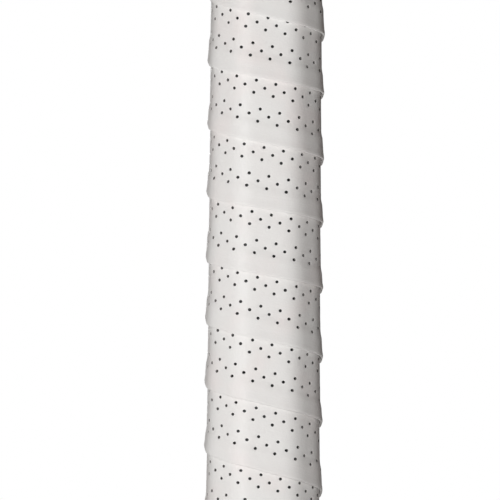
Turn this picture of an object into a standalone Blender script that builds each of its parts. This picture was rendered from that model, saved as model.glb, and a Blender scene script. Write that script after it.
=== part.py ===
"""Grip end of a tennis racket: an eight-sided handle with its cushioned base grip and overgrip wound on.

Metres, +Z up along the shaft. The origin is the middle of the butt cap's end, which the part stands on.
X runs across the handle's wide facets, which face -Y (front) and +Y (back).
All sizes below are in millimetres and are scaled by MM where the meshes are made.
"""
import math

import bmesh
import bpy
from mathutils import Matrix

MM = 0.001
FIT = 0.3                       # clearance between pieces that touch
LAYER_GAP = 0.15                # clearance between layers wound on each other

# Rounded octagons: width in X, depth in Y, leg of the bevels, corner radius
HANDLE = (29.3, 26.4, 7.0, 1.0)
SHAFT = (24.0, 17.0, 2.4, 2.0)
SHARPEST = 0.4                  # smallest corner radius of any octagon
CORNERS = 8
CORNER_ANGLE = 2 * math.pi / CORNERS

# The handle widens a little all the way down, and flares at the butt
SWELL, SWELL_TOP, SWELL_RUN = 0.35, 150.0, 120.0
FLARE, FLARE_TOP, FLARE_RUN = 3.3, 24.0, 21.0
FLARE_STEPS = 7                 # rings of the butt cap's flare

# Hairpin legs and their foam
LEG_WIDTH, LEG_DEPTH, LEG_RADIUS, LEG_WALL = 11.0, 17.0, 4.0, 1.2
LEG_GAP = 2.0
LEG_BOTTOM, LEG_TOP = 26.3, 250.0
CORE_RECESS = 0.6

# Pallets: outer skin, the neck that plugs into the cap, and the hollow behind the trap door
PALLET_BOTTOM, NECK_TOP, PALLET_TOP, PALLET_END = 4.2, 30.3, 203.0, 212.0
NECK_INSET, END_INSET, HOLLOW_INSET = 1.7, 1.2, 3.3
HOLLOW_TOP = 26.0

# Butt cap and trap door
CAP_TOP, CAP_FLOOR, CAP_RIM_TOP, CAP_RIM, CAP_CHAMFER = 30.0, 3.4, 2.7, 5.2, 0.6
MOUTH = (18.0, 14.0, 2.5)       # width, depth, corner radius
LEDGE_HEIGHT, LEDGE_WIDTH = 2.0, 1.3
DOOR_BOTTOM, DOOR_LEG_TOP = 0.2, 7.0
DOOR_LEG_THICKNESS, DOOR_LEG_WIDTH = 1.0, 8.0
COIN_SLOT = (10.0, 2.4, 1.19)   # length, width, end radius
COIN_SLOT_DEPTH = 0.7

# Staples through the cap's sleeve
STAPLE_CROWN, STAPLE_WIRE, STAPLE_WIDTH = 9.0, 0.5, 0.9
STAPLE_Z, STAPLE_SINK, STAPLE_REACH = 24.0, 0.1, 3.0

# Base grip, wound edge to edge
GRIP_BOTTOM = 3.0
BASE_TOP, BASE_PITCH, BASE_SEAM = 203.0, 26.0, 0.3
BASE_INNER, BASE_OUTER = LAYER_GAP, 1.8
TIP_WIDTH = 1.5

# Overgrip, wound with an overlap. A crossing is where the tape's lower edge meets the middle of the
# front facet: its height, and how steeply the tape climbs there.
TAPE_HEIGHT, TAPE_THICKNESS, TAPE_TOP = 25.4, 0.75, 196.0
CROSSINGS = (
    (-2.2, 0.19), (18.6, 0.21), (39.0, 0.27), (60.0, 0.24), (80.05, 0.23), (100.5, 0.18),
    (121.2, 0.175), (141.7, 0.21), (162.0, 0.19), (181.4, 0.24), (202.8, 0.18),
)
STRAIGHT = 0.2                  # turns each side of a crossing with its climb unchanged
TAPE_START = 3.0                # width of the tape's tapered start
TAPE_END = 7.4                  # width left where its slanted end is cut
TAPE_TAIL = 0.75                # least part of that width that lies clear of the turn below
RAMP = 1.9                      # the height over which a turn comes down off the turn below
TAPE_INNER = BASE_OUTER + LAYER_GAP
TAPE_LIFT = TAPE_THICKNESS + 0.1
TAPE_OUTER = TAPE_INNER + TAPE_THICKNESS + TAPE_LIFT

# Bands of adhesive tape round the top ends of the grips: bottom, top, inner and outer offset
FINISHING_BAND = (188.5, 196.8, TAPE_OUTER + LAYER_GAP, TAPE_OUTER + LAYER_GAP + 0.25)
BASE_BAND = (197.3, 203.6, BASE_OUTER + LAYER_GAP, BASE_OUTER + LAYER_GAP + 0.2)

# Collar, wide over the ends of the grips and narrow round the shaft: height, and offset from a section
COLLAR_OUTSIDE = (
    (199.3, HANDLE, 3.9), (200.1, HANDLE, 4.4), (206.0, HANDLE, 4.4), (214.0, HANDLE, 1.7),
    (220.0, SHAFT, 2.7), (225.3, SHAFT, 2.0), (226.0, SHAFT, 1.4),
)
COLLAR_INSIDE = (
    (226.0, SHAFT, 0.4), (219.0, SHAFT, 0.4), (213.0, HANDLE, -1.2), (206.0, HANDLE, 2.5),
    (199.3, HANDLE, 2.5),
)


def material(name, color, roughness, metallic=0.0):
    """A Principled material of one colour."""
    made = bpy.data.materials.new(name)
    made.use_nodes = True
    shader = made.node_tree.nodes["Principled BSDF"]
    shader.inputs["Base Color"].default_value = (*color, 1.0)
    shader.inputs["Roughness"].default_value = roughness
    shader.inputs["Metallic"].default_value = metallic
    return made


# ---- sections ----

def grown(section, offset):
    """The same rounded octagon with every side moved out by offset."""
    width, depth, leg, radius = section
    leg += offset * (1 - math.tan(CORNER_ANGLE / 2))
    return (width + 2 * offset, depth + 2 * offset, leg, max(radius + offset, SHARPEST))


def corner_centres(section):
    """Centres of a rounded octagon's corner arcs, counter-clockwise from the corner past +X."""
    width, depth, leg, radius = section
    diagonal = (width / 2 + depth / 2 - leg) / math.sqrt(2)
    reach = [width / 2, diagonal, depth / 2, diagonal] * 2
    centres = []
    for corner in range(CORNERS):
        first, second = reach[corner] - radius, reach[(corner + 1) % CORNERS] - radius
        angle = corner * CORNER_ANGLE
        along = (second - first * math.cos(CORNER_ANGLE)) / math.sin(CORNER_ANGLE)
        x = first * math.cos(angle) - along * math.sin(angle)
        y = first * math.sin(angle) + along * math.cos(angle)
        centres.append((x, y))
    return centres


def outline(section, steps=1):
    """Points round a rounded octagon, with steps chords to each corner."""
    radius = section[3]
    points = []
    for corner, (x, y) in enumerate(corner_centres(section)):
        for step in range(steps + 1):
            angle = (corner + step / steps) * CORNER_ANGLE
            points.append((x + radius * math.cos(angle), y + radius * math.sin(angle)))
    return points


def rounded_rectangle(width, depth, radius, steps=3):
    """Points round a rectangle with rounded corners."""
    points = []
    for corner in range(4):
        side_x = 1 if corner in (0, 3) else -1
        side_y = 1 if corner in (0, 1) else -1
        for step in range(steps + 1):
            angle = (corner + step / steps) * math.pi / 2
            x = side_x * (width / 2 - radius) + radius * math.cos(angle)
            y = side_y * (depth / 2 - radius) + radius * math.sin(angle)
            points.append((x, y))
    return points


def swell(z):
    """How far the handle's surface stands out of its straight octagon at height z."""
    gentle = SWELL * min(max((SWELL_TOP - z) / SWELL_RUN, 0.0), 1.0)
    butt = FLARE * min(max((FLARE_TOP - z) / FLARE_RUN, 0.0), 1.0) ** 2
    return gentle + butt


# ---- solids ----

def new_object(name, mesh_data, finish, collection):
    """Make an object from a bmesh in millimetres."""
    bmesh.ops.scale(mesh_data, vec=(MM, MM, MM), verts=mesh_data.verts)
    bmesh.ops.recalc_face_normals(mesh_data, faces=mesh_data.faces)
    mesh = bpy.data.meshes.new(name)
    mesh_data.to_mesh(mesh)
    mesh_data.free()
    mesh.shade_smooth()
    mesh.set_sharp_from_angle(angle=math.radians(30))
    if finish is not None:
        mesh.materials.append(finish)
    piece = bpy.data.objects.new(name, mesh)
    collection.objects.link(piece)
    return piece


def loft(name, rings, finish, collection, closed=False):
    """Skin rings of equal point counts. Closed rings make a sleeve, otherwise the ends are capped."""
    mesh_data = bmesh.new()
    loops = [[mesh_data.verts.new(point) for point in ring] for ring in rings]
    count = len(loops[0])
    pairs = list(zip(loops, loops[1:]))
    if closed:
        pairs.append((loops[-1], loops[0]))
    else:
        mesh_data.faces.new(loops[0])
        mesh_data.faces.new(loops[-1])
    for low, high in pairs:
        for i in range(count):
            after = (i + 1) % count
            mesh_data.faces.new((low[i], low[after], high[after], high[i]))
    return new_object(name, mesh_data, finish, collection)


def at_height(points, z):
    return [(x, y, z) for x, y in points]


def prism(name, points, bottom, top, finish, collection):
    """A flat outline extruded from bottom to top."""
    mesh_data = bmesh.new()
    face = mesh_data.faces.new([mesh_data.verts.new((x, y, bottom)) for x, y in points])
    raised = bmesh.ops.extrude_face_region(mesh_data, geom=[face])["geom"]
    corners = [item for item in raised if isinstance(item, bmesh.types.BMVert)]
    bmesh.ops.translate(mesh_data, vec=(0, 0, top - bottom), verts=corners)
    return new_object(name, mesh_data, finish, collection)


def cutter(piece):
    """Mark a piece as a cutter, which is not part of the model."""
    piece.hide_render = True
    piece.display_type = "WIRE"
    return piece


def boolean(piece, other, operation="DIFFERENCE"):
    modifier = piece.modifiers.new(f"{operation.lower()} {other.name}", "BOOLEAN")
    modifier.operation = operation
    modifier.object = other
    modifier.solver = "EXACT"


def band(name, bottom, top, inner, outer, finish, collection):
    """A closed band round the handle between two heights and two offsets from its surface."""
    rings = []
    for z, offset in ((bottom, inner), (bottom, outer), (top, outer), (top, inner)):
        rings.append(at_height(outline(grown(HANDLE, swell(z) + offset)), z))
    return loft(name, rings, finish, collection, closed=True)


# ---- winding ----

def winding_stations():
    """One turn round the handle, clockwise: each station's corner centre, normal and share of the turn.

    The turn starts in the middle of the back facet, so its half is the middle of the front facet.
    """
    centres = corner_centres(HANDLE)
    points = outline(grown(HANDLE, TAPE_INNER))
    back_end = CORNERS // 4 * 2     # points before the back facet's first end
    order = [(back_end - 1 - i) % len(points) for i in range(len(points))]
    half_facet = math.dist(points[order[0]], points[order[-1]]) / 2
    stations = []
    travelled = half_facet
    for number, index in enumerate(order):
        if number:
            travelled += math.dist(points[order[number - 1]], points[index])
        corner, end = divmod(index, 2)
        angle = (corner + end) * CORNER_ANGLE
        stations.append((centres[corner], (math.cos(angle), math.sin(angle)), travelled))
    around = travelled + half_facet
    return [(centre, normal, length / around) for centre, normal, length in stations], around


STATIONS, AROUND = winding_stations()


def surface_point(station, z, offset):
    """The point at a station of the winding, at height z, offset from the handle's surface."""
    (x, y), (normal_x, normal_y), _ = station
    reach = HANDLE[3] + swell(z) + offset
    return (x + reach * normal_x, y + reach * normal_y, z)


def crossing_height(turn):
    """Height of the overgrip's lower edge after so many turns, smooth through its crossings."""
    position = turn - 0.5
    first = min(max(math.floor(position), 0), len(CROSSINGS) - 2)
    t = position - first
    (low, low_slope), (high, high_slope) = CROSSINGS[first], CROSSINGS[first + 1]
    low_climb, high_climb = low_slope * AROUND, high_slope * AROUND
    if t < STRAIGHT:
        return low + low_climb * t
    if t > 1 - STRAIGHT:
        return high - high_climb * (1 - t)
    span = 1 - 2 * STRAIGHT
    low, high = low + low_climb * STRAIGHT, high - high_climb * STRAIGHT
    low_climb, high_climb = low_climb * span, high_climb * span
    t = (t - STRAIGHT) / span
    rise = high - low
    return low + t * (low_climb + t * (3 * rise - 2 * low_climb - high_climb
                                       + t * (low_climb + high_climb - 2 * rise)))


def tape_lower(turn):
    return max(GRIP_BOTTOM, crossing_height(turn))


def tape_upper(turn):
    return min(TAPE_TOP, crossing_height(turn) + TAPE_HEIGHT)


def base_grip_sections():
    """Cross-sections of the base grip: square edges, laid edge to edge, level at both ends."""
    knots = [i / 5 for i in range(6)]
    sections = []
    turn = 0
    while True:
        for station in STATIONS:
            position = turn + station[2]
            low = GRIP_BOTTOM + BASE_PITCH * max(0.0, position - 1)
            high = min(BASE_TOP, GRIP_BOTTOM + BASE_PITCH * position - BASE_SEAM)
            if high - low < TIP_WIDTH:
                if sections:
                    return sections
                continue
            heights = [low + (high - low) * knot for knot in knots]
            inner = [surface_point(station, z, BASE_INNER) for z in heights]
            outer = [surface_point(station, z, BASE_OUTER) for z in reversed(heights)]
            sections.append(inner + outer)
        turn += 1


def overgrip_sections():
    """Cross-sections of the overgrip: each turn's lower edge is lifted over the turn below it."""
    start_knots = (0.0, 0.2, 0.28, 0.52, 0.76, 1.0)     # where the first turn's points lie across it
    landed_knots = [i / 3 for i in range(4)]            # the same for the part clear of the turn below
    sections = []
    start = None
    turn = -2
    while True:
        for station in STATIONS:
            position = turn + station[2]
            low, high = tape_lower(position), tape_upper(position)
            if start is None and high - low < TAPE_START:
                continue
            if start is None:
                start = position
            lifted = position >= start + 1 - 1e-6
            if lifted:
                over = tape_upper(position - 1) + LAYER_GAP
                landed = over + RAMP
                if high - low < TAPE_END or landed > high - TAPE_TAIL:
                    return sections
                heights = [low, over] + [landed + (high - landed) * knot for knot in landed_knots]
            else:
                heights = [low + (high - low) * knot for knot in start_knots]
            lift = TAPE_LIFT if lifted else 0.0
            lifts = [lift, lift, 0.0, 0.0, 0.0, 0.0]
            inner = [surface_point(station, z, TAPE_INNER + up) for z, up in zip(heights, lifts)]
            outer = [surface_point(station, z, TAPE_INNER + TAPE_THICKNESS + up)
                     for z, up in zip(heights, lifts)]
            sections.append(inner + outer[::-1])
        turn += 1


# ---- pieces ----

def make_legs(parts, cutters):
    """Two hollow hairpin legs side by side, each with its foam core."""
    carbon = material("carbon", (0.03, 0.03, 0.035), 0.35)
    foam = material("core_foam", (0.72, 0.62, 0.38), 0.9)
    offset = (LEG_GAP + LEG_WIDTH) / 2
    bore_width, bore_depth = LEG_WIDTH - 2 * LEG_WALL, LEG_DEPTH - 2 * LEG_WALL
    for side, name in ((-1, "left"), (1, "right")):
        def shifted(points, x=side * offset):
            return [(px + x, py) for px, py in points]
        body = rounded_rectangle(LEG_WIDTH, LEG_DEPTH, LEG_RADIUS)
        bore = rounded_rectangle(bore_width, bore_depth, LEG_RADIUS - LEG_WALL)
        core = rounded_rectangle(bore_width - 2 * FIT, bore_depth - 2 * FIT, LEG_RADIUS - LEG_WALL - FIT)
        rings = [at_height(shifted(body), LEG_BOTTOM), at_height(shifted(body), LEG_TOP),
                 at_height(shifted(bore), LEG_TOP), at_height(shifted(bore), LEG_BOTTOM)]
        loft(f"leg_tube_{name}", rings, carbon, parts, closed=True)
        prism(f"foam_core_{name}", shifted(core), LEG_BOTTOM + CORE_RECESS, LEG_TOP - CORE_RECESS,
              foam, parts)
        pocket = rounded_rectangle(LEG_WIDTH + 2 * FIT, LEG_DEPTH + 2 * FIT, LEG_RADIUS + FIT)
        cutter(prism(f"cut_leg_{name}", shifted(pocket), LEG_BOTTOM - FIT, PALLET_END + 1, None, cutters))


def make_pallets(parts, cutters, staples):
    """Two half shells that clamp the legs, split along the handle's middle plane."""
    foam = material("pallet_foam", (0.55, 0.54, 0.50), 0.75)
    neck = grown(HANDLE, -NECK_INSET)
    rings = [at_height(outline(neck), PALLET_BOTTOM), at_height(outline(neck), NECK_TOP)]
    for z in (NECK_TOP, SWELL_TOP, PALLET_TOP):
        rings.append(at_height(outline(grown(HANDLE, swell(z))), z))
    rings.append(at_height(outline(grown(HANDLE, -END_INSET)), PALLET_END))
    hollow = outline(grown(HANDLE, -HOLLOW_INSET))
    hollow_cut = cutter(prism("cut_hollow", hollow, PALLET_BOTTOM - 1, HOLLOW_TOP, None, cutters))
    half_width, half_depth = HANDLE[0], HANDLE[1]
    for side, name in ((-1, "front"), (1, "back")):
        pallet = loft(f"pallet_{name}", rings, foam, parts)
        near, far = side * FIT / 2, side * half_depth
        corners = [(-half_width, near), (half_width, near), (half_width, far), (-half_width, far)]
        keep = cutter(prism(f"keep_{name}", corners, 0, PALLET_END + 1, None, cutters))
        boolean(pallet, keep, "INTERSECT")
        boolean(pallet, hollow_cut)
        for leg in ("left", "right"):
            boolean(pallet, bpy.data.objects[f"cut_leg_{leg}"])
        for staple in (name, "left", "right"):
            boolean(pallet, staples[staple])


def make_butt_cap(parts, cutters, staples):
    """The flared cap: a sleeve over the pallets' neck, and an end with the trap door's mouth."""
    plastic = material("cap_plastic", (0.045, 0.045, 0.05), 0.45)
    profile = [(0.0, CAP_RIM - CAP_CHAMFER), (CAP_CHAMFER, CAP_RIM), (CAP_RIM_TOP, CAP_RIM)]
    for i in range(FLARE_STEPS + 1):
        z = CAP_RIM_TOP + (FLARE_TOP - CAP_RIM_TOP) * i / FLARE_STEPS
        profile.append((z, swell(z)))
    profile.append((CAP_TOP, swell(CAP_TOP)))
    rings = [at_height(outline(grown(HANDLE, offset)), z) for z, offset in profile]
    cap = loft("butt_cap", rings, plastic, parts)
    socket = outline(grown(HANDLE, FIT - NECK_INSET))
    boolean(cap, cutter(prism("cut_socket", socket, CAP_FLOOR, CAP_TOP + 1, None, cutters)))
    width, depth, radius = MOUTH
    mouth = rounded_rectangle(width, depth, radius)
    boolean(cap, cutter(prism("cut_mouth", mouth, -1, CAP_FLOOR + 1, None, cutters)))
    seat = rounded_rectangle(width + 2 * LEDGE_WIDTH, depth + 2 * LEDGE_WIDTH, radius + LEDGE_WIDTH)
    boolean(cap, cutter(prism("cut_seat", seat, -1, LEDGE_HEIGHT, None, cutters)))
    for staple in staples.values():
        boolean(cap, staple)


def make_trap_door(parts, cutters):
    """A flanged door with two legs that grip the mouth's ends, and a coin slot to lever it out."""
    plastic = material("door_plastic", (0.06, 0.06, 0.065), 0.5)
    width, depth, radius = MOUTH
    spread = 2 * (LEDGE_WIDTH - FIT)
    flange = rounded_rectangle(width + spread, depth + spread, radius + LEDGE_WIDTH - FIT)
    top = LEDGE_HEIGHT - FIT
    door = prism("trap_door", flange, DOOR_BOTTOM, top, plastic, parts)
    slot = rounded_rectangle(*COIN_SLOT)
    boolean(door, cutter(prism("cut_slot", slot, -1, DOOR_BOTTOM + COIN_SLOT_DEPTH, None, cutters)))
    middle = width / 2 - FIT - DOOR_LEG_THICKNESS / 2
    for side in (-1, 1):
        leg = [(x + side * middle, y)
               for x, y in rounded_rectangle(DOOR_LEG_THICKNESS, DOOR_LEG_WIDTH, DOOR_LEG_THICKNESS / 3)]
        rooted = (DOOR_BOTTOM + top) / 2
        boolean(door, cutter(prism(f"door_leg_{side}", leg, rooted, DOOR_LEG_TOP, None, cutters)), "UNION")


def staple_outline(clearance, reach):
    """A staple seen along its wire's width: the crown on top, two legs reaching down."""
    outer = STAPLE_CROWN / 2 + clearance
    inner = STAPLE_CROWN / 2 - STAPLE_WIRE - clearance
    top, under = clearance, -STAPLE_WIRE - clearance
    return [(-outer, -reach), (-inner, -reach), (-inner, under), (inner, under),
            (inner, -reach), (outer, -reach), (outer, top), (-outer, top)]


def make_staples(parts, cutters):
    """Four staples, one in each main facet, and the cutters that make room for them."""
    steel = material("staple_steel", (0.62, 0.62, 0.64), 0.3, 1.0)
    room = {}
    crown_top = swell(STAPLE_Z) - STAPLE_SINK
    places = {"front": (-90, HANDLE[1]), "back": (90, HANDLE[1]),
              "left": (180, HANDLE[0]), "right": (0, HANDLE[0])}
    for name, (facing, across) in places.items():
        place = (Matrix.Rotation(math.radians(facing - 90), 4, "Z")
                 @ Matrix.Translation((0, (across / 2 + crown_top) * MM, STAPLE_Z * MM)))
        half = STAPLE_WIDTH / 2
        points = staple_outline(0.0, crown_top + STAPLE_REACH)
        staple = prism(f"cap_staple_{name}", points, -half, half, steel, parts)
        staple.matrix_world = place
        points = staple_outline(FIT, crown_top + HOLLOW_INSET + FIT)
        points[-1] = (points[-1][0], 1.0)
        points[-2] = (points[-2][0], 1.0)
        space = prism(f"cut_staple_{name}", points, -half - FIT, half + FIT, None, cutters)
        space.matrix_world = place
        room[name] = cutter(space)
    return room


def make_grips(parts):
    """The two wound grips, and the bands of tape that hold their cut ends."""
    rubber = material("base_grip_rubber", (0.02, 0.02, 0.022), 0.7)
    tape = material("overgrip_tape", (0.86, 0.85, 0.84), 0.6)
    film = material("finishing_film", (0.80, 0.80, 0.80), 0.35)
    dark_film = material("base_film", (0.03, 0.03, 0.03), 0.35)
    loft("base_grip", base_grip_sections(), rubber, parts)
    loft("overgrip", overgrip_sections(), tape, parts)
    band("finishing_tape", *FINISHING_BAND, film, parts)
    band("base_finishing_tape", *BASE_BAND, dark_film, parts)


def make_collar(parts):
    """The rubber collar, one sleeve from its outside round to its inside."""
    rubber = material("collar_rubber", (0.05, 0.05, 0.055), 0.6)
    rings = [at_height(outline(grown(section, offset)), z)
             for z, section, offset in COLLAR_OUTSIDE + COLLAR_INSIDE]
    loft("collar", rings, rubber, parts, closed=True)


def main():
    for old in list(bpy.data.objects):
        bpy.data.objects.remove(old, do_unlink=True)
    parts = bpy.data.collections.new("racket_handle")
    cutters = bpy.data.collections.new("cutters")
    bpy.context.scene.collection.children.link(parts)
    bpy.context.scene.collection.children.link(cutters)
    make_legs(parts, cutters)
    staples = make_staples(parts, cutters)
    make_pallets(parts, cutters, staples)
    make_butt_cap(parts, cutters, staples)
    make_trap_door(parts, cutters)
    make_grips(parts)
    make_collar(parts)


main()
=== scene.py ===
"""Looks for the wrapped racket handle: perforated overgrip, finishing tape, collar, cap and shaft stubs.

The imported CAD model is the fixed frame. Lengths below are in millimetres unless a name ends in _M, and
are scaled by MM where meshes are made. +Z is up along the shaft, and the front facet faces -Y.
"""

import math

import bmesh
import bpy
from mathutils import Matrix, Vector, noise


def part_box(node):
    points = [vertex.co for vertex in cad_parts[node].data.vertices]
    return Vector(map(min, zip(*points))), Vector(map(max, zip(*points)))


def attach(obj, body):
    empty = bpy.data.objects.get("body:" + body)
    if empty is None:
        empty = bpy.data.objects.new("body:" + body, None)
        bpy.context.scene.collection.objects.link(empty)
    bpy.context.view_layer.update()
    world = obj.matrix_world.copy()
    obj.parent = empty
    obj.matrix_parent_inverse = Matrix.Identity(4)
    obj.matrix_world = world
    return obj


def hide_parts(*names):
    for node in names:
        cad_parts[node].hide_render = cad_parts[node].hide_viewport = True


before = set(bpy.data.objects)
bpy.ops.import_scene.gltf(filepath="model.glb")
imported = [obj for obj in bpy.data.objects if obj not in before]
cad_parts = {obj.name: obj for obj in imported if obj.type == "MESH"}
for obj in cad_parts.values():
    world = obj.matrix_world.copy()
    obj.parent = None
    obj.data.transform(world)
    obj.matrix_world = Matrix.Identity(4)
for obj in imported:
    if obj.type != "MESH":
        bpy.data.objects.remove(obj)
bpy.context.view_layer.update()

MM = 0.001


def node_heights(node):
    """The lowest and highest point of a CAD node, in millimetres."""
    low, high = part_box(node)
    return low.z / MM, high.z / MM


# ---- the handle's section, as in the CAD model ----

HANDLE = (29.3, 26.4, 7.0, 1.0)         # width, depth, leg of the bevels, corner radius
SHAFT = (24.0, 17.0, 2.4, 2.0)
CORNERS = 8
CORNER_ANGLE = 2 * math.pi / CORNERS
SWELL, SWELL_TOP, SWELL_RUN = 0.35, 150.0, 120.0
FLARE, FLARE_TOP, FLARE_RUN = 3.3, 24.0, 21.0
SMALLEST_RADIUS = 0.4

# ---- the overgrip ----

GRIP_BOTTOM, TAPE_TOP = node_heights("overgrip")
TAPE_WIDTH, TAPE_HEIGHT = 25.0, 25.4    # across the tape, and straight up on the slanted tape
TAPE_INNER = 1.95                       # its inner face, out from the bare handle
TAPE_GAP = 0.12                         # room left between one turn and the next
# Stretching thins the tape towards its upper edge: distance across from the lower edge, thickness
TAPE_THICKNESS = ((0.0, 0.82), (8.0, 0.72), (20.0, 0.52), (25.0, 0.30))
RAMP = 3.0                              # height over which a turn comes down off the turn below
LIFT_START, LIFT_RUN = 0.98, 0.02       # turns from the start until the tape climbs onto itself
TAPE_LIP, LOWER_LIP_RUN, UPPER_LIP_RUN = 0.14, 0.4, 0.8     # how far its edges are rounded off
EDGE_FLARE, EDGE_FLARE_RUN = 0.16, 2.2  # how far the lower edge stands off, and over what distance
CROWN, CROWN_FACET = 0.12, 18.0         # how far tape stands proud of the middle of a facet so wide
TAPE_CORNER = 8.0                       # corner radius of the tape's inner face
WRINKLE_BROAD, WRINKLE_FINE, WRINKLED_EDGE = 0.05, 0.035, 6.0
# Where the lower edge crosses the middle of the front facet: height, climb, and hole spacings so far
HEIGHT, CLIMB, HOLES = 0, 1, 2
CROSSINGS = (
    (-2.2, 0.19, 0.02), (18.6, 0.21, 17.60), (39.0, 0.27, 35.16), (60.0, 0.24, 53.03),
    (80.05, 0.23, 71.29), (100.5, 0.18, 89.13), (121.2, 0.175, 106.74), (141.7, 0.21, 124.22),
    (162.0, 0.19, 142.85), (181.4, 0.24, 160.8), (202.8, 0.18, 178.8),
)
STRAIGHT = 0.2                          # turns each side of a crossing with its climb unchanged
LEAST_TURN, MOST_TURN = -3.0, 14.0      # turns that the tape's two ends surely lie between
TAPE_START, TAPE_END = 3.0, 7.4         # widths at the tapered start and at the slanted end
HOLE_SPACING, HOLE_RADIUS, HOLE_SIDES = 6.1, 0.5, 10
RIM_WIDTH, RIM_SINK = 0.12, 0.025       # the soft edge round each hole
CLEAR_OF_EDGE = 0.4                     # height a hole keeps from where the tape is cut level
ROW_SPACING = 1.95
ROWS = (6.35, 8.3, 10.25, 14.98, 16.93, 18.88)      # middles of the hole rows above the lower edge
PLAIN_KNOTS = (0.0, 0.3, 0.8, 1.9, 3.1, 4.4, 12.8, 21.7, 23.3, 24.4, 24.8, 25.0)
KNOT_APART = 0.05                       # knots nearer than this are taken as one
CUT_SLACK = 0.02                        # how near the level cut a quad is taken to be past it

# ---- the base grip and the bands of film ----

WOUND_STEPS = 144                       # stations to a turn
BASE_TOP = node_heights("base_grip")[1]
BASE_PITCH, BASE_SEAM, BASE_TIP = 26.0, 0.3, 1.5
BASE_INNER, BASE_OUTER = 0.15, 1.8
BASE_PARED, BASE_PARED_RUN = 0.45, 1.4  # how much its margins are pared down, over what distance
BASE_MARGIN = (0.0, 0.0875, 0.3, 1.0)   # points across a margin, as shares of its width
BASE_MARGIN_WIDTH = 4.0
FILM_TURNS, FILM_THICKNESS, FILM_GAP = 1.28, 0.16, 0.05
FILM_LEVELS, FILM_BRIDGE = 12, 3        # steps up the film, and how many it bridges each way
FILM_DRIFT, FILM_FOOT_DRIFT = 0.5, 0.2  # how far it strays up or down once round, and at its foot
FILM_LAP_START, FILM_LAP_RUN = -3, 4    # stations from a whole turn over which it climbs onto itself

# ---- the cap, the trap door, the collar and the legs ----

CAP_TOP, CAP_FLOOR, CAP_RIM_TOP, CAP_RIM = 30.0, 3.4, 2.7, 5.2
CAP_RIM_UPPER_RADIUS, CAP_RIM_LOWER_RADIUS = 0.4, 0.9
# The cap's foot, inwards from the rim across a shallow groove: height, and offset from the handle
CAP_FOOT = ((0.0, 1.2), (0.12, 1.0), (0.5, 0.9), (0.5, 0.1), (0.12, 0.0), (0.0, -0.2))
CAP_CORNER_STEPS, MOUTH_CORNER_STEPS = 8, 17        # these give every ring as many points
FLARE_STEPS = 20
SOCKET_OFFSET = -1.4
MOUTH = (18.0, 14.0, 2.5)               # width, depth, corner radius
LEDGE_HEIGHT, LEDGE_WIDTH, MOUTH_CHAMFER = 2.0, 1.3, 0.3
STAPLE_ROOM = 0.25
DOOR_TOP_GAP = 0.3                      # room over the door's flange
# The door's edge and the groove round its face: height above the face, and distance in from the edge
DOOR_FACE = (
    (0.3, 0.0), (0.09, 0.09), (0.0, 0.3), (0.0, 1.3), (0.25, 1.4), (0.25, 1.9), (0.0, 2.0),
)
DOOR_LEG_THICKNESS, DOOR_LEG_WIDTH, DOOR_LEG_GAP, DOOR_LEG_ROOT = 1.0, 8.0, 0.3, 0.5
BARB_HEIGHT, BARB_SIZE, BARB_UNDERSIDE, BARB_POINT = 3.0, 0.5, 0.4, 0.4
COIN_SLOT, COIN_SLOT_DEPTH = (10.0, 2.4), 0.8
LEG_WIDTH, LEG_DEPTH, LEG_RADIUS, LEG_WALL = 11.0, 17.0, 4.0, 1.2
# The sawn end of a leg, over its outer corner and into its bore: depth below the end, and inset
LEG_END = ((0.25, 0.0), (0.0, 0.2), (0.0, 1.05), (0.2, 1.2))
CORE_GAP, CORE_ROUND, CORE_ROUND_RUN = 0.3, 0.35, 0.3
COLLAR_STEPS = 70
COLLAR_GROOVES, GROOVE_DEPTH, GROOVE_REACH = (201.9, 203.6, 205.3), 0.4, 0.55
COLLAR_LIP, COLLAR_LIP_RUN = 0.9, 0.8   # how far the wide end is rounded in, and over what height
COLLAR_TIP, COLLAR_TIP_RUN = 0.6, 0.7
COLLAR_EASE = (-1.2, -0.6, 0.0, 0.6, 1.2)           # heights averaged to soften its turns
# Height, a section, and offset from it
COLLAR_OUTSIDE = (
    (199.3, HANDLE, 4.4), (206.0, HANDLE, 4.4), (214.0, HANDLE, 1.7), (220.0, SHAFT, 2.7),
    (226.0, SHAFT, 2.0),
)
COLLAR_INSIDE = (
    (226.0, SHAFT, 0.4), (219.0, SHAFT, 0.4), (213.0, HANDLE, -1.2), (206.0, HANDLE, 2.5),
    (199.6, HANDLE, 2.5), (199.3, HANDLE, 2.8),
)

# ---- the light and the view ----

FLOOR_RADIUS_M, FLOOR_DROP_M = 0.45, 0.0002
WORLD_LIGHT, WORLD_COLOR = 0.085, (1.0, 0.88, 0.80, 1)
FLOOR_GLOW, FLOOR_SEEN = 0.06, 0.45     # what the paper gives off to the handle, and to the eye
# A level view, a little left of square to the front facet, with the shaft and the butt out of it
VIEW_HEIGHT_M, VIEW_SPAN_M, VIEW_DISTANCE_M, VIEW_SIDE_M = 0.1085, 0.157, 6.0, -0.0046
VIEW_TURN, VIEW_ROLL = math.radians(3.5), math.radians(-0.42)
SENSOR_MM = 36.0


def grown(section, offset):
    """The same rounded octagon with every side moved out by offset."""
    width, depth, leg, radius = section
    leg += offset * (1 - math.tan(CORNER_ANGLE / 2))
    return (width + 2 * offset, depth + 2 * offset, leg, max(radius + offset, SMALLEST_RADIUS))


def with_radius(section, radius):
    """The same octagon with another corner radius."""
    return (*section[:3], radius)


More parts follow.
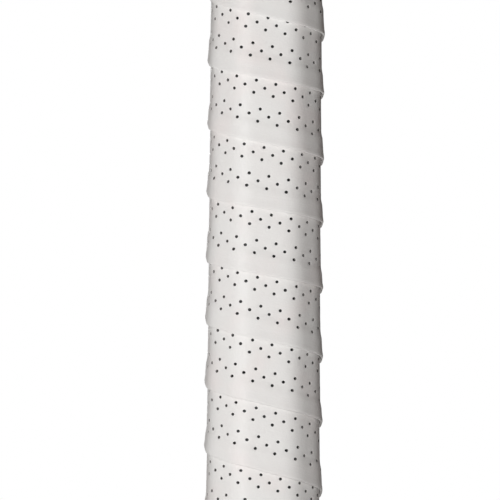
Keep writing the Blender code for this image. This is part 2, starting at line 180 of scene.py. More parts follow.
def corner_centres(section):
    """Centres of a rounded octagon's corner arcs, counter-clockwise from the corner past +X."""
    width, depth, leg, radius = section
    diagonal = (width / 2 + depth / 2 - leg) / math.sqrt(2)
    reach = [width / 2, diagonal, depth / 2, diagonal] * 2
    centres = []
    for corner in range(CORNERS):
        first, second = reach[corner] - radius, reach[(corner + 1) % CORNERS] - radius
        angle = corner * CORNER_ANGLE
        along = (second - first * math.cos(CORNER_ANGLE)) / math.sin(CORNER_ANGLE)
        x = first * math.cos(angle) - along * math.sin(angle)
        y = first * math.sin(angle) + along * math.cos(angle)
        centres.append((x, y))
    return centres


def outline(section, steps=8):
    """Points round a rounded octagon, with steps chords to each corner."""
    radius = section[3]
    points = []
    for corner, (x, y) in enumerate(corner_centres(section)):
        for step in range(steps + 1):
            angle = (corner + step / steps) * CORNER_ANGLE
            points.append((x + radius * math.cos(angle), y + radius * math.sin(angle)))
    return points


def rounded_rectangle(width, depth, radius, steps=8):
    """Points round a rectangle with rounded corners."""
    points = []
    for corner in range(4):
        side_x = 1 if corner in (0, 3) else -1
        side_y = 1 if corner in (0, 1) else -1
        for step in range(steps + 1):
            angle = (corner + step / steps) * math.pi / 2
            x = side_x * (width / 2 - radius) + radius * math.cos(angle)
            y = side_y * (depth / 2 - radius) + radius * math.sin(angle)
            points.append((x, y))
    return points


def swell(z):
    """How far the handle's surface stands out of its straight octagon at height z."""
    gentle = SWELL * min(max((SWELL_TOP - z) / SWELL_RUN, 0.0), 1.0)
    butt = FLARE * min(max((FLARE_TOP - z) / FLARE_RUN, 0.0), 1.0) ** 2
    return gentle + butt


def smooth(t):
    """A smooth step from 0 to 1."""
    t = min(max(t, 0.0), 1.0)
    return t * t * (3 - 2 * t)


# ---- one turn round the handle, for everything that is wound ----

class Turn:
    """The section that tape is wound on, followed clockwise from the middle of the back facet."""

    def __init__(self, radius, offset):
        section = with_radius(grown(HANDLE, offset), radius)
        points = outline(section)
        per_corner = len(points) // CORNERS
        angles = [(corner + step / (per_corner - 1)) * CORNER_ANGLE
                  for corner in range(CORNERS) for step in range(per_corner)]
        back = CORNERS // 4 * per_corner
        order = [(back - 1 - i) % len(points) for i in range(len(points))]
        first, last = points[order[0]], points[order[-1]]
        middle = ((first[0] + last[0]) / 2, (first[1] + last[1]) / 2)
        self.points = [middle] + [points[i] for i in order] + [middle]
        # Normals turn clockwise, from 90 degrees at the back down to -270 degrees
        self.angles = [math.pi / 2]
        for i in order:
            angle = angles[i]
            while angle > self.angles[-1] + 1e-6:
                angle -= 2 * math.pi
            nearest = round(angle / CORNER_ANGLE) * CORNER_ANGLE
            self.angles.append(nearest if abs(angle - nearest) < 1e-6 else angle)
        self.angles.append(self.angles[-1])
        self.travelled = [0.0]
        for a, b in zip(self.points, self.points[1:]):
            self.travelled.append(self.travelled[-1] + math.dist(a, b))
        self.around = self.travelled[-1]

    def at(self, turn):
        """Position, normal and crown at a turn number with its fraction."""
        want = (turn % 1.0) * self.around
        low, high = 0, len(self.travelled) - 1
        while high - low > 1:
            middle = (low + high) // 2
            if self.travelled[middle] <= want:
                low = middle
            else:
                high = middle
        run = self.travelled[high] - self.travelled[low]
        t = (want - self.travelled[low]) / run if run > 1e-9 else 0.0
        (x0, y0), (x1, y1) = self.points[low], self.points[high]
        x, y = x0 + (x1 - x0) * t, y0 + (y1 - y0) * t
        angle = self.angles[low] + (self.angles[high] - self.angles[low]) * t
        crown = 0.0
        if self.angles[low] == self.angles[high]:
            if low == 0:
                run, t = 2 * run, (1 + t) / 2
            elif high == len(self.travelled) - 1:
                run, t = 2 * run, t / 2
            crown = CROWN * (run / CROWN_FACET) * 4 * t * (1 - t)
        return x, y, math.cos(angle), math.sin(angle), crown


TAPE_TURN = Turn(TAPE_CORNER, TAPE_INNER)


def crossing(turn, which):
    """HEIGHT or HOLES of the tape's lower edge after so many turns, smooth through its crossings."""
    first = min(max(math.floor(turn - 0.5), 0), len(CROSSINGS) - 2)
    t = turn - 0.5 - first
    low, high = CROSSINGS[first][which], CROSSINGS[first + 1][which]
    if which == HEIGHT:
        low_climb = CROSSINGS[first][CLIMB] * TAPE_TURN.around
        high_climb = CROSSINGS[first + 1][CLIMB] * TAPE_TURN.around
    else:
        low_climb = high_climb = TAPE_TURN.around / HOLE_SPACING
    if t < STRAIGHT:
        return low + low_climb * t
    if t > 1 - STRAIGHT:
        return high - high_climb * (1 - t)
    span = 1 - 2 * STRAIGHT
    low, high = low + low_climb * STRAIGHT, high - high_climb * STRAIGHT
    low_climb, high_climb = low_climb * span, high_climb * span
    t = (t - STRAIGHT) / span
    rise = high - low
    return low + t * (low_climb + t * (3 * rise - 2 * low_climb - high_climb
                                       + t * (low_climb + high_climb - 2 * rise)))


def climb(turn):
    """The tape's slope, height for travel round the handle."""
    step = 0.01
    rise = crossing(turn + step, HEIGHT) - crossing(turn - step, HEIGHT)
    return rise / (2 * step * TAPE_TURN.around)


def turn_of_holes(count):
    """The turn at which so many hole spacings have been wound, by bisection."""
    low, high = LEAST_TURN, MOST_TURN
    for _ in range(40):
        middle = (low + high) / 2
        if crossing(middle, HOLES) < count:
            low = middle
        else:
            high = middle
    return (low + high) / 2


def tape_upper(turn):
    """Height of the tape's upper edge above a place on its lower edge, or of the level cut."""
    return min(TAPE_TOP, crossing(turn, HEIGHT) + TAPE_HEIGHT)


def tape_start():
    """The turn at which the tape's tapered start is wide enough to be cut."""
    turn = -1.0
    while tape_upper(turn) - GRIP_BOTTOM < TAPE_START:
        turn += 0.002
    return turn


def tape_end():
    """The turn at which the tape's slanted end leaves too little to cut."""
    turn = START + 1
    while TAPE_TOP - crossing(turn, HEIGHT) > TAPE_END:
        turn += 0.01
    return turn


START = tape_start()
END = tape_end()
SNUG_TURN = Turn(HANDLE[3] + BASE_INNER, BASE_INNER)


def thickness(across):
    """The tape's thickness at a distance across from its lower edge."""
    for (start, thick), (end, thin) in zip(TAPE_THICKNESS, TAPE_THICKNESS[1:]):
        if across <= end:
            return thick + (thin - thick) * max(across - start, 0.0) / (end - start)
    return TAPE_THICKNESS[-1][1]


def tape_lift(turn, z):
    """How far a point of the tape is lifted by the turn below it."""
    if turn < START + LIFT_START:
        return 0.0
    begun = smooth((turn - START - LIFT_START) / LIFT_RUN)
    across = (z - crossing(turn - 1, HEIGHT)) * TAPE_WIDTH / TAPE_HEIGHT
    clear = z - tape_upper(turn - 1) - TAPE_GAP
    return begun * (thickness(across) + TAPE_GAP) * (1 - smooth(clear / RAMP))


def wrinkle(x, y, z, across, along):
    """Small unevenness of hand-wound tape, in millimetres."""
    broad = noise.noise(Vector((x / 9, y / 9, z / 7)))
    fine = noise.noise(Vector((along / 5.5, across / 0.9, 3.7)))
    edge = smooth(1 - across / WRINKLED_EDGE) + smooth(1 - (TAPE_WIDTH - across) / WRINKLED_EDGE)
    return WRINKLE_BROAD * broad + WRINKLE_FINE * fine * (0.35 + edge)


def tape_point(along_turn, across, along, outside, sink=0.0):
    """A point of the tape's outer or inner face, sunk a little at the rim of a hole.

    along_turn is where its column meets the lower edge, and across the distance from that edge.
    """
    slope = climb(along_turn)
    sine = slope / math.hypot(1, slope)
    turn = along_turn - across * sine / TAPE_TURN.around
    z = crossing(turn, HEIGHT) + across * TAPE_HEIGHT / TAPE_WIDTH
    z = min(max(z, GRIP_BOTTOM), TAPE_TOP)
    x, y, nx, ny, crown = TAPE_TURN.at(turn)
    thick = thickness(across)
    lip = TAPE_LIP * (1 - smooth(across / LOWER_LIP_RUN))
    lip += TAPE_LIP * (1 - smooth((TAPE_WIDTH - across) / UPPER_LIP_RUN))
    flare = EDGE_FLARE * (1 - smooth(across / EDGE_FLARE_RUN)) if turn > START + 1 else 0.0
    offset = swell(z) + crown + flare + tape_lift(turn, z) + wrinkle(x, y, z, across, along)
    offset += (thick - lip - sink) if outside else 0.0
    return (x + nx * offset, y + ny * offset, z)


# ---- meshes ----

def finish_mesh(name, mesh_data, body, sharp=40, scale=MM):
    """Turn a bmesh in millimetres into a smooth-shaded piece that rides on a body."""
    bmesh.ops.scale(mesh_data, vec=(scale, scale, scale), verts=mesh_data.verts)
    bmesh.ops.recalc_face_normals(mesh_data, faces=mesh_data.faces)
    mesh = bpy.data.meshes.new(name)
    mesh_data.to_mesh(mesh)
    mesh_data.free()
    mesh.shade_smooth()
    mesh.set_sharp_from_angle(angle=math.radians(sharp))
    piece = bpy.data.objects.new(name, mesh)
    bpy.context.scene.collection.objects.link(piece)
    if body:
        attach(piece, body)
    return piece


def loft_mesh(rings, closed=False):
    """Skin rings of equal point counts. Closed rings make a sleeve, otherwise the ends are capped."""
    mesh_data = bmesh.new()
    loops = [[mesh_data.verts.new(point) for point in ring] for ring in rings]
    count = len(loops[0])
    pairs = list(zip(loops, loops[1:]))
    if closed:
        pairs.append((loops[-1], loops[0]))
    else:
        mesh_data.faces.new(loops[0])
        mesh_data.faces.new(loops[-1])
    for low, high in pairs:
        for i in range(count):
            after = (i + 1) % count
            mesh_data.faces.new((low[i], low[after], high[after], high[i]))
    return mesh_data


def at_height(points, z):
    """Flat points raised to a height."""
    return [(x, y, z) for x, y in points]


def make_overgrip():
    """The perforated tape: an outer and an inner face on one grid, with a wall wherever they end."""
    half_row = ROW_SPACING / 2
    knots = sorted(PLAIN_KNOTS + tuple(row + side * half_row for row in ROWS for side in (-1, 0, 1)))
    levels = [knots[0]]
    for knot in knots[1:]:
        if knot - levels[-1] > KNOT_APART:
            levels.append(knot)
    row_level = {min(range(len(levels)), key=lambda j, r=row: abs(levels[j] - r)): number
                 for number, row in enumerate(ROWS)}
    first = math.ceil(2 * crossing(START, HOLES)) - 1
    last = first
    while TAPE_TOP - crossing(turn_of_holes(last / 2), HEIGHT) > TAPE_END:
        last += 1
    columns = last - first

    points = []                     # turn at the lower edge, across, column and sink of each point
    index = {}
    turns = {}

    def column_turn(column):
        """The turn at which a column of holes, or a place between two, meets the lower edge."""
        key = round(column, 4)
        if key not in turns:
            turns[key] = turn_of_holes((first + column) / 2)
        return turns[key]

    def vertex(column, across, sink=0.0):
        """A new point of the grid, by its number."""
        points.append((column_turn(column), across, column, sink))
        return len(points) - 1

    def grid(i, j):
        """Vertex at half-column i, level j."""
        if (i, j) not in index:
            index[i, j] = vertex(i / 2 - 0.5, levels[j])
        return index[i, j]

    def height(i, j):
        """Height of a grid point before the tape is cut level."""
        turn = column_turn(i / 2 - 0.5)
        return crossing(turn, HEIGHT) + levels[j] * TAPE_HEIGHT / TAPE_WIDTH

    def quads(columns_across, levels_up):
        """The plain quads of a stretch of the grid, left out where the tape is cut level."""
        made = []
        for a in columns_across:
            for b in levels_up:
                corners = [height(c, d) for c in (a, a + 1) for d in (b, b + 1)]
                if max(corners) > GRIP_BOTTOM + CUT_SLACK and min(corners) < TAPE_TOP - CUT_SLACK:
                    made.append((grid(a, b), grid(a + 1, b), grid(a + 1, b + 1), grid(a, b + 1)))
        return made

    faces = []
    for column in range(columns):
        i = 2 * column
        for j in range(len(levels) - 1):
            if j not in row_level and j + 1 not in row_level:
                faces.extend(quads((i, i + 1), (j,)))
        for j, row in row_level.items():
            punched = (first + column + row) % 2 == 0
            lowest = min(height(i, j - 1), height(i + 2, j - 1))
            highest = max(height(i, j + 1), height(i + 2, j + 1))
            clear = lowest > GRIP_BOTTOM + CLEAR_OF_EDGE and highest < TAPE_TOP - CLEAR_OF_EDGE
            if not (punched and clear):
                faces.extend(quads((i, i + 1), (j - 1, j)))
                continue
            border = [grid(i + 2, j), grid(i + 2, j + 1), grid(i + 1, j + 1), grid(i, j + 1),
                      grid(i, j), grid(i, j - 1), grid(i + 1, j - 1), grid(i + 2, j - 1)]
            faces.extend(punch(border, column, row, vertex))

    outer, inner = [], []
    for turn, across, column, sink in points:
        outer.append(tape_point(turn, across, column * HOLE_SPACING / 2, True, sink))
        inner.append(tape_point(turn, across, column * HOLE_SPACING / 2, False))
    count = len(points)
    edges = dict.fromkeys(pair for face in faces for pair in zip(face, face[1:] + face[:1]))
    walls = [(b, a, a + count, b + count) for a, b in edges if (b, a) not in edges]
    all_faces = faces + [tuple(v + count for v in reversed(face)) for face in faces] + walls
    mesh = bpy.data.meshes.new("overgrip_tape")
    mesh.from_pydata([(x * MM, y * MM, z * MM) for x, y, z in outer + inner], [], all_faces)
    # Walls between sunk points are the walls of holes, which get the second material, dark with painted
    # shade
    for face, (a, b, _, _) in zip(list(mesh.polygons)[2 * len(faces):], walls):
        face.material_index = int(points[a][3] > 0 and points[b][3] > 0)
    uv = mesh.uv_layers.new(name="tape")
    flat = [(column * HOLE_SPACING / 2, across) for _, across, column, _ in points] * 2
    for loop in mesh.loops:
        u, v = flat[loop.vertex_index]
        uv.data[loop.index].uv = (u * MM, v * MM)
    mesh_data = bmesh.new()
    mesh_data.from_mesh(mesh)
    bmesh.ops.delete(mesh_data, geom=[v for v in mesh_data.verts if not v.link_faces], context="VERTS")
    bmesh.ops.dissolve_degenerate(mesh_data, edges=mesh_data.edges, dist=1e-7)
    piece = finish_mesh("overgrip_tape", mesh_data, "handle", sharp=50, scale=1.0)
    bpy.data.meshes.remove(mesh)
    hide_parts("overgrip")
    return piece


def punch(border, column, row, vertex):
    """Faces of one cell with a round hole: border, a soft rim, and the hole's edge."""
    wobble = 1 + 0.07 * noise.noise(Vector((column * 1.7, row * 2.3, 0.5)))
    shift = 0.06 * noise.noise(Vector((column * 0.9, row * 3.1, 7.5)))
    rings = []
    for radius, sink in ((HOLE_RADIUS + RIM_WIDTH, 0.0), (HOLE_RADIUS, RIM_SINK)):
        ring = []
        for k in range(HOLE_SIDES):
            angle = 2 * math.pi * k / HOLE_SIDES
            across = ROWS[row] + shift + radius * wobble * math.sin(angle)
            along = column + 2 * radius * math.cos(angle) / HOLE_SPACING
            ring.append(vertex(along, across, sink))
        rings.append(ring)
    faces = []
    outer, inner = rings
    for k in range(HOLE_SIDES):
        after = (k + 1) % HOLE_SIDES
        faces.append((outer[k], outer[after], inner[after], inner[k]))
    # Join the border to the first ring, always taking the nearer next corner
    n, m = len(border), HOLE_SIDES
    a = b = 0
    while a < n or b < m:
        if b >= m or (a < n and (a + 1) / n <= (b + 1) / m):
            faces.append((border[a % n], border[(a + 1) % n], outer[b % m]))
            a += 1
        else:
            faces.append((border[a % n], outer[(b + 1) % m], outer[b % m]))
            b += 1
    return faces


# ---- the other wound strips ----

def make_base_grip():
    """The cushioned strip under the overgrip, edge to edge, its margins pared down at the seams."""
    sections = []
    step = 0
    while True:
        turn = step / WOUND_STEPS
        low = GRIP_BOTTOM + BASE_PITCH * max(0.0, turn - 1)
        high = min(BASE_TOP, GRIP_BOTTOM + BASE_PITCH * turn - BASE_SEAM)
        step += 1
        if high - low < BASE_TIP:
            if sections:
                break
            continue
        margin = min((high - low) / 3, BASE_MARGIN_WIDTH)
        up = [low + share * margin for share in BASE_MARGIN]
        heights = up + [high + low - z for z in reversed(up)]
        inner, outer = [], []
        for z in heights:
            x, y, nx, ny, _ = SNUG_TURN.at(turn)
            inner.append((x + nx * swell(z), y + ny * swell(z), z))
            x, y, nx, ny, _ = TAPE_TURN.at(turn)
            pared = BASE_PARED * (1 - smooth(min(z - low, high - z) / BASE_PARED_RUN))
            offset = swell(z) + BASE_OUTER - TAPE_INNER - pared
            outer.append((x + nx * offset, y + ny * offset, z))
        sections.append(inner + outer[::-1])
    piece = finish_mesh("base_grip_strip", loft_mesh(sections), "handle", sharp=60)
    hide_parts("base_grip")
    return piece


def tape_surface(fraction, z):
    """How far the overgrip's outermost face stands off the tape's own section, there and so high."""
    turn = None
    for number in range(len(CROSSINGS)):
        here = number + fraction
        if START <= here <= END and crossing(here, HEIGHT) <= z:
            turn = here
    across = (z - crossing(turn, HEIGHT)) * TAPE_WIDTH / TAPE_HEIGHT
    if across > TAPE_WIDTH:
        return BASE_OUTER - TAPE_INNER
    flare = EDGE_FLARE * (1 - smooth(across / EDGE_FLARE_RUN))
    return TAPE_TURN.at(turn)[4] + flare + tape_lift(turn, z) + thickness(across)


def make_film(name, node, surface, start):
    """Adhesive film wound a little over once, bridging the steps of what lies under it."""
    bottom, top = node_heights(node)
    heights = [bottom + (top - bottom) * i / FILM_LEVELS for i in range(FILM_LEVELS + 1)]
    rest = [[surface(i / WOUND_STEPS, z) for z in heights] for i in range(WOUND_STEPS)]
    reach = range(-FILM_BRIDGE, FILM_BRIDGE + 1)

    def bridged(i, j, take):
        """The greatest or the mean of the surface round a point, as take says."""
        near = [min(max(j + b, 0), FILM_LEVELS) for b in reach]
        return take([rest[(i + a) % WOUND_STEPS][b] for a in reach for b in near])

    for take in (max, lambda values: sum(values) / len(values)):
        rest = [[bridged(i, j, take) for j in range(len(heights))] for i in range(WOUND_STEPS)]
    sections = []
    steps = int(FILM_TURNS * WOUND_STEPS)
    for i in range(steps + 1):
        place = (start + i) % WOUND_STEPS
        x, y, nx, ny, _ = TAPE_TURN.at(place / WOUND_STEPS)
        lapped = (FILM_THICKNESS + FILM_GAP) * smooth((i - WOUND_STEPS - FILM_LAP_START) / FILM_LAP_RUN)
        stray = i / steps - 0.5
        inner, outer = [], []
        for j, z in enumerate(heights):
            offset = swell(z) + rest[place][j] + FILM_GAP + lapped
            z -= stray * (FILM_DRIFT if j else FILM_FOOT_DRIFT)
            inner.append((x + nx * offset, y + ny * offset, z))
            offset += FILM_THICKNESS
            outer.append((x + nx * offset, y + ny * offset, z))
        sections.append(inner + outer[::-1])
    piece = finish_mesh(name, loft_mesh(sections), "handle", sharp=50)
    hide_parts(node)
    return piece


# ---- moulded pieces ----

def arc(centre_z, centre_offset, radius, start, end, steps=5):
    """Heights and offsets along an arc, from start to end in degrees above the outward direction."""
    angles = [math.radians(start + (end - start) * i / steps) for i in range(steps + 1)]
    return [(centre_z + radius * math.sin(a), centre_offset + radius * math.cos(a)) for a in angles]


def carve(piece, tool, operation="DIFFERENCE"):
    """Cut a piece with a tool, or join the tool to it, and remove the tool."""
    modifier = piece.modifiers.new("carve", "BOOLEAN")
    modifier.operation = operation
    modifier.object = tool
    modifier.solver = "EXACT"
    graph = bpy.context.evaluated_depsgraph_get()
    carved = bpy.data.meshes.new_from_object(piece.evaluated_get(graph))
    piece.modifiers.clear()
    plain = piece.data
    piece.data = carved
    bpy.data.meshes.remove(plain)
    bpy.data.objects.remove(tool)


def soften(piece, width, angle=40):
    """Round a carved piece's sharp edges."""
    modifier = piece.modifiers.new("soft edges", "BEVEL")
    modifier.width = width * MM
    modifier.segments = 2
    modifier.limit_method = "ANGLE"
    modifier.angle_limit = math.radians(angle)
    graph = bpy.context.evaluated_depsgraph_get()
    softened = bpy.data.meshes.new_from_object(piece.evaluated_get(graph))
    piece.modifiers.clear()
    plain = piece.data
    piece.data = softened
    bpy.data.meshes.remove(plain)
    piece.data.shade_smooth()
    piece.data.set_sharp_from_angle(angle=math.radians(angle))


def prism_mesh(points, bottom, top):
    """A flat outline made into an upright block."""
    return loft_mesh([at_height(points, bottom), at_height(points, top)])


def make_butt_cap():
    """The flared cap, one skin: down its outside, round the rim, and in past the door's seat."""
    outside = [(CAP_TOP, swell(CAP_TOP))]
    for i in range(FLARE_STEPS + 1):
        z = FLARE_TOP + (CAP_RIM_TOP - FLARE_TOP) * i / FLARE_STEPS
        outside.append((z, swell(z)))
    upper, lower = CAP_RIM_UPPER_RADIUS, CAP_RIM_LOWER_RADIUS
    outside += arc(CAP_RIM_TOP - upper, CAP_RIM - upper, upper, 90, 0)
    outside += arc(lower, CAP_RIM - lower, lower, 0, -90, steps=8)
    outside += CAP_FOOT
    rings = [at_height(outline(grown(HANDLE, offset), CAP_CORNER_STEPS), z) for z, offset in outside]
    width, depth, radius = MOUTH
    for z, side in ((0.0, LEDGE_WIDTH + MOUTH_CHAMFER), (MOUTH_CHAMFER, LEDGE_WIDTH),
                    (LEDGE_HEIGHT, LEDGE_WIDTH), (LEDGE_HEIGHT, 0.0), (CAP_FLOOR, 0.0)):
        points = rounded_rectangle(width + 2 * side, depth + 2 * side, radius + side, MOUTH_CORNER_STEPS)
        rings.append(at_height(points, z))
    for z in (CAP_FLOOR, CAP_TOP):
        rings.append(at_height(outline(grown(HANDLE, SOCKET_OFFSET), CAP_CORNER_STEPS), z))
    piece = finish_mesh("butt_cap_moulding", loft_mesh(rings, closed=True), "handle")
    for side in ("front", "back", "left", "right"):
        carve(piece, staple_room(side))
    piece.data.shade_smooth()
    piece.data.set_sharp_from_angle(angle=math.radians(40))
    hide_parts("butt_cap")
    return piece


def staple_room(side):
    """A block round a staple's node, open outwards, with room for the wire."""
    low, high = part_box(f"cap_staple_{side}")
    low, high = low / MM, high / MM
    room = Vector((STAPLE_ROOM, STAPLE_ROOM, STAPLE_ROOM))
    low, high = low - room, high + room
    block = bmesh.new()
    bmesh.ops.create_cube(block, size=1.0)
    bmesh.ops.scale(block, vec=high - low, verts=block.verts)
    bmesh.ops.translate(block, vec=(low + high) / 2, verts=block.verts)
    return finish_mesh(f"room_{side}", block, None)


def make_trap_door():
    """The flanged door: a groove round its face, a coin slot, and two legs with snap barbs."""
    low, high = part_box("trap_door")
    bottom, leg_top = low.z / MM, high.z / MM
    width, depth = (high.x - low.x) / MM, (high.y - low.y) / MM
    corner = MOUTH[2] + LEDGE_WIDTH
    top = LEDGE_HEIGHT - DOOR_TOP_GAP
    profile = [(top, 0.2), (top - 0.2, 0.0)] + [(bottom + up, inset) for up, inset in DOOR_FACE]
    rings = [at_height(rounded_rectangle(width - 2 * inset, depth - 2 * inset, corner - inset), z)
             for z, inset in profile]
    piece = finish_mesh("trap_door_moulding", loft_mesh(rings), "trap_door")
    length, breadth = COIN_SLOT
    slot = rounded_rectangle(length, breadth, breadth * 0.49)
    carve(piece, finish_mesh("slot", prism_mesh(slot, bottom - 1, bottom + COIN_SLOT_DEPTH), None))
    root, barb, shoulder = top - DOOR_LEG_ROOT, leg_top - BARB_HEIGHT, leg_top - BARB_POINT
    half = DOOR_LEG_WIDTH / 2
    for side in (-1, 1):
        outer = side * (MOUTH[0] / 2 - DOOR_LEG_GAP)
        inner = outer - side * DOOR_LEG_THICKNESS
        leg = [(outer, root), (outer, barb - BARB_UNDERSIDE), (outer + side * BARB_SIZE, barb),
               (outer, shoulder), (inner + side * BARB_POINT, leg_top), (inner, shoulder), (inner, root)]
        rings = [[(x, y, z) for x, z in leg] for y in (-half, half)]
        carve(piece, finish_mesh("leg", loft_mesh(rings), None), "UNION")
    soften(piece, 0.1)
    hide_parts("trap_door")
    return piece


def make_collar():
    """The rubber collar: a rolled lip and grooves round the wide end, easing down to the shaft."""
    rings = []
    stops = [(z, grown(section, offset)) for z, section, offset in COLLAR_OUTSIDE]
    for i in range(COLLAR_STEPS + 1):
        z = stops[0][0] + (stops[-1][0] - stops[0][0]) * i / COLLAR_STEPS
        sections = [section_at(stops, z + spread) for spread in COLLAR_EASE]
        section = tuple(sum(values) / len(sections) for values in zip(*sections))
        lip = COLLAR_LIP * (1 - smooth((z - stops[0][0]) / COLLAR_LIP_RUN) ** 0.5) ** 2
        tip = COLLAR_TIP * smooth((z - stops[-1][0] + COLLAR_TIP_RUN) / COLLAR_TIP_RUN) ** 2
        groove = 0.0
        for middle in COLLAR_GROOVES:
            groove += GROOVE_DEPTH * max(0.0, 1 - abs(z - middle) / GROOVE_REACH) ** 0.6
        rings.append(at_height(outline(grown(section, -lip - tip - groove)), z))
    for z, section, offset in COLLAR_INSIDE:
        rings.append(at_height(outline(grown(section, offset)), z))
    sleeve = loft_mesh(rings, closed=True)
    piece = finish_mesh("collar_moulding", sleeve, "collar", sharp=50)
    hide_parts("collar")
    return piece


def section_at(stops, z):
    """The section at a height between the stops of a loft."""
    z = min(max(z, stops[0][0]), stops[-1][0])
    for (low, first), (high, second) in zip(stops, stops[1:]):
        if z <= high:
            t = (z - low) / (high - low)
            return tuple(a + (b - a) * t for a, b in zip(first, second))
    return stops[-1][1]


def make_leg(name):
    """One hairpin leg of the shaft, its sawn end just chamfered, and the foam core inside it."""
    low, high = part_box(f"leg_tube_{name}")
    middle = (low.x + high.x) / 2 / MM
    bottom, top = low.z / MM, high.z / MM

    def ring(z, inset):
        """The leg's section at a height, drawn in by inset."""
        points = rounded_rectangle(LEG_WIDTH - 2 * inset, LEG_DEPTH - 2 * inset, LEG_RADIUS - inset)
        return [(x + middle, y, z) for x, y in points]

    end = [ring(top - down, inset) for down, inset in LEG_END]
    rings = [ring(bottom, 0.0)] + end + [ring(bottom, LEG_WALL)]
    tube = finish_mesh(f"leg_laminate_{name}", loft_mesh(rings, closed=True), "handle")
    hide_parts(f"leg_tube_{name}")
    bottom, top = node_heights(f"foam_core_{name}")
    inset = LEG_WALL + CORE_GAP
    rings = [ring(bottom, inset), ring(top - CORE_ROUND_RUN, inset), ring(top, inset + CORE_ROUND)]
    core = finish_mesh(f"foam_fill_{name}", loft_mesh(rings), "handle")
    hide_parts(f"foam_core_{name}")
    return tube, core


# ---- materials ----

class Shader:
    """A node material: its Principled shader and short ways to add and join nodes."""

    def __init__(self, name):
        self.material = bpy.data.materials.new(name)
        self.material.use_nodes = True
        self.tree = self.material.node_tree
        self.principled = self.tree.nodes["Principled BSDF"]
        self.coordinates = self.add("ShaderNodeTexCoord")

    def add(self, kind, **settings):
        """A new node with its settings."""
        made = self.tree.nodes.new(kind)
        for key, value in settings.items():
            setattr(made, key, value)
        return made

    def link(self, output, target):
        """Join an output to an input."""
        self.tree.links.new(output, target)

    def set(self, **values):
        """Constants on the Principled shader's sockets, with _ for each space in a socket's name."""
        for key, value in values.items():
            self.principled.inputs[key.replace("_", " ")].default_value = value

    def mapped(self, scale, source="Object"):
        """Coordinates scaled to a pattern: object metres times scale."""
        mapping = self.add("ShaderNodeMapping")
        mapping.inputs["Scale"].default_value = scale
        self.link(self.coordinates.outputs[source], mapping.inputs["Vector"])
        return mapping.outputs["Vector"]

    def noise(self, scale, detail=3.0, roughness=0.5, source="Object", stretch=(1, 1, 1)):
        """Cloudy noise, from 0 to 1, as fine as its scale says."""
        made = self.add("ShaderNodeTexNoise")
        made.inputs["Scale"].default_value = scale
        made.inputs["Detail"].default_value = detail
        made.inputs["Roughness"].default_value = roughness
        self.link(self.mapped(stretch, source), made.inputs["Vector"])
        return made.outputs["Fac"]

    def cells(self, scale):
        """Distance from the middle of each round cell."""
        made = self.add("ShaderNodeTexVoronoi", feature="F1")
        made.inputs["Scale"].default_value = scale
        self.link(self.mapped((1, 1, 1)), made.inputs["Vector"])
        return made.outputs["Distance"]

    def ramp(self, fac, stops):
        """Colours or greys along a factor: (position, colour) pairs."""
        made = self.add("ShaderNodeValToRGB")
        elements = made.color_ramp.elements
        while len(elements) < len(stops):
            elements.new(0.5)
        for element, (position, color) in zip(elements, stops):
            element.position = position
            element.color = (*color, 1.0) if hasattr(color, "__len__") else (color, color, color, 1.0)
        self.link(fac, made.inputs["Fac"])
        return made.outputs["Color"]

    def bump(self, height, strength, distance, onto=None):
        """A normal with relief, on top of another normal if there is one."""
        made = self.add("ShaderNodeBump")
        made.inputs["Strength"].default_value = strength
        made.inputs["Distance"].default_value = distance
        self.link(height, made.inputs["Height"])
        if onto is not None:
            self.link(onto, made.inputs["Normal"])
        return made.outputs["Normal"]

    def finish(self, color=None, roughness=None, normal=None):
        """Join what was made to the Principled shader, and give back the material."""
        for output, socket in ((color, "Base Color"), (roughness, "Roughness"), (normal, "Normal")):
            if output is not None:
                self.link(output, self.principled.inputs[socket])
        return self.material


def overgrip_material():
    """Off-white dry-feel tape: fine pebble grain, faint creases along it, soft warm clouds."""
    shader = Shader("overgrip_white")
    clouds = shader.noise(70, detail=2)
    color = shader.ramp(clouds, [(0.3, (0.85, 0.81, 0.795)), (0.5, (0.84, 0.825, 0.81)),
                                 (0.72, (0.85, 0.845, 0.83))])
    grain = shader.cells(2600)
    creases = shader.noise(1.0, detail=4, roughness=0.6, source="UV", stretch=(160, 1500, 1))
    coarse = shader.noise(900, detail=3)
    normal = shader.bump(grain, 0.16, 0.00006)
    normal = shader.bump(coarse, 0.18, 0.00012, normal)
    normal = shader.bump(creases, 0.25, 0.00016, normal)
    roughness = shader.ramp(coarse, [(0.3, 0.48), (0.7, 0.62)])
    shader.set(Specular_IOR_Level=0.35, Sheen_Weight=0.12, Sheen_Roughness=0.5)
    return shader.finish(color, roughness, normal)


def hole_wall_painted_shade_material():
    """The wall of a hole, the tape's felt backing cut through, coloured dark grey as painted shade that
    stands in for the shade inside the hole.
    """
    shader = Shader("overgrip_hole_wall_painted_shade")
    wall_mottle = shader.noise(1500, detail=2)
    # Painted shade: a dark grey, a little mottled, in place of the shade inside each hole
    color = shader.ramp(wall_mottle, [(0.3, (0.2, 0.19, 0.18)), (0.7, (0.3, 0.29, 0.28))])
    shader.set(Roughness=0.9, Specular_IOR_Level=0.1)
    return shader.finish(color)


def rubber_material(name, dark, light, grain_scale=1400, strength=0.3):
    """Matt moulded rubber or plastic with a fine spark-eroded grain."""
    shader = Shader(name)
    patches = shader.noise(55, detail=3)
    color = shader.ramp(patches, [(0.35, dark), (0.7, light)])
    grain = shader.noise(grain_scale, detail=2)
    roughness = shader.ramp(grain, [(0.3, 0.5), (0.7, 0.72)])
    normal = shader.bump(grain, strength, 0.0001)
    return shader.finish(color, roughness, normal)


def film_material(name, dark, light, roughness=0.32):
    """Stretchy adhesive tape: satin, with faint streaks along it."""
    shader = Shader(name)
    streaks = shader.noise(1.0, detail=3, stretch=(60, 60, 2200))
    color = shader.ramp(streaks, [(0.3, dark), (0.7, light)])
    normal = shader.bump(streaks, 0.25, 0.00008)
    rough = shader.ramp(shader.noise(300), [(0.3, roughness), (0.7, roughness + 0.14)])
    return shader.finish(color, rough, normal)


